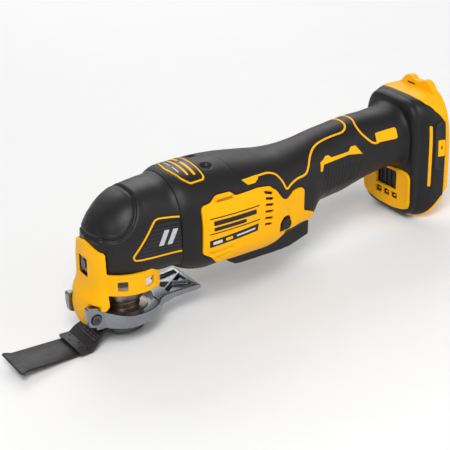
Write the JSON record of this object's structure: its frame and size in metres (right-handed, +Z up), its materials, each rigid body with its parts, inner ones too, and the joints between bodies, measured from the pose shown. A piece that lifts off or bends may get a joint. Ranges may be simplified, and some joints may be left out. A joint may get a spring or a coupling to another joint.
{
  "type": "cordless oscillating multi-tool",
  "caption": "Slim cordless oscillating multi-tool with a lever-released clamp under its head, a plunge-cut blade, a long paddle trigger and a sliding battery foot.",
  "frame": {"origin": "on the spindle axis, at the face where the clamp collar presses on the blade's hub", "axes": "+X back along the body to the battery foot, +Y across it, towards the side away from the camera, and +Z up the spindle"},
  "size_m": [0.3358, 0.0724, 0.1354],
  "materials": {
    "yellow_shell": "satin moulded yellow plastic",
    "black_grip": "matte black soft moulding",
    "black_cover": "matte black soft moulding",
    "yellow_guard": "satin moulded yellow plastic",
    "badge_face": "matte black plate with a yellow rim",
    "label_face": "glossy black plate with a yellow rim",
    "dark_steel": "dark oxide steel",
    "plain_steel": "machined steel",
    "cast_alloy": "cast and polished alloy",
    "bronze_steel": "bronze-tinted hardened steel",
    "blade_steel": "dark coated steel",
    "black_plastic": "matte black plastic",
    "brass_contact": "bright brass",
    "board_green": "green circuit board",
    "copper_wire": "enamelled copper",
    "red_lead": "red insulated wire",
    "blue_lead": "blue insulated wire",
    "core_steel": "stacked electrical steel",
    "lens_clear": "clear plastic lens",
    "spring_steel": "bright spring wire"
  },
  "bodies": {
    "housing": {"housing_left": "yellow_shell", "housing_right": "yellow_shell", "grip_left": "black_grip", "grip_right": "black_grip", "head_cover": "black_cover", "gear_case": "cast_alloy", "nose_guard": "yellow_guard", "side_badges": "badge_face", "top_label": "label_face", "top_screws": "dark_steel", "housing_screws": "dark_steel", "rear_bezel": "yellow_guard", "side_bumpers": "black_plastic", "foot_cap": "yellow_guard", "battery_rail": "yellow_guard", "terminal_block": "black_plastic", "terminals": "brass_contact", "control_module": "black_plastic", "power_leads": "red_lead", "phase_leads": "blue_lead", "switch": "black_plastic", "motor_board": "board_green", "stator": "core_steel", "windings": "copper_wire", "motor_bracket": "cast_alloy", "front_motor_bearing": "plain_steel", "rear_motor_bearing": "plain_steel", "lower_spindle_bearing": "plain_steel", "upper_spindle_bearing": "plain_steel", "lever_pins": "dark_steel", "led_board": "board_green", "led_lens": "lens_clear", "trigger_pin": "plain_steel", "trigger_spring": "spring_steel"},
    "rotor": {"motor_shaft": "plain_steel", "rotor_core": "core_steel", "fan": "black_plastic", "counterweight": "brass_contact", "eccentric_bearing": "plain_steel"},
    "spindle": {"spindle": "dark_steel", "fork": "plain_steel", "spring_cup": "dark_steel", "blade_bracket": "blade_steel", "blade": "blade_steel"},
    "collar": {"clamp_collar": "bronze_steel", "clamp_spring": "spring_steel"},
    "lever": {"clamp_lever": "cast_alloy"},
    "trigger": {"trigger": "black_plastic"},
    "lock": {"lock_button": "black_plastic"}
  },
  "joints": [
    {"name": "motor_spin", "type": "hinge", "parent": "housing", "child": "rotor", "pos_m": [0, 0, 0.062], "axis": [1, 0, 0], "continuous": true},
    {"name": "spindle_swing", "type": "hinge", "parent": "housing", "child": "spindle", "pos_m": [0, 0, 0], "axis": [0, 0, 1], "range_deg": [-1.6, 1.6]},
    {"name": "collar_lift", "type": "slide", "parent": "spindle", "child": "collar", "axis": [0, 0, 1], "range_m": [0, 0.005], "deforming": ["clamp_spring"]},
    {"name": "lever_pivot", "type": "hinge", "parent": "housing", "child": "lever", "pos_m": [-0.0276, 0, 0.0116], "axis": [0, -1, 0], "range_deg": [0, 10], "stiffness_Nm_per_rad": 0.2, "springref_deg": -8.59},
    {"name": "trigger_pivot", "type": "hinge", "parent": "housing", "child": "trigger", "pos_m": [0.08, 0, 0.038], "axis": [0, -1, 0], "range_deg": [0, 4.5], "stiffness_Nm_per_rad": 0.3, "springref_deg": -8.59, "deforming": ["trigger_spring"]},
    {"name": "lock_slide", "type": "slide", "parent": "housing", "child": "lock", "axis": [0, 1, 0], "range_m": [0, 0.003], "stiffness_N_per_m": 200, "springref_m": -0.002}
  ],
  "couplings": [
    {"joint": "collar_lift", "follows": "lever_pivot", "m_per_rad": 0.0276}
  ]
}
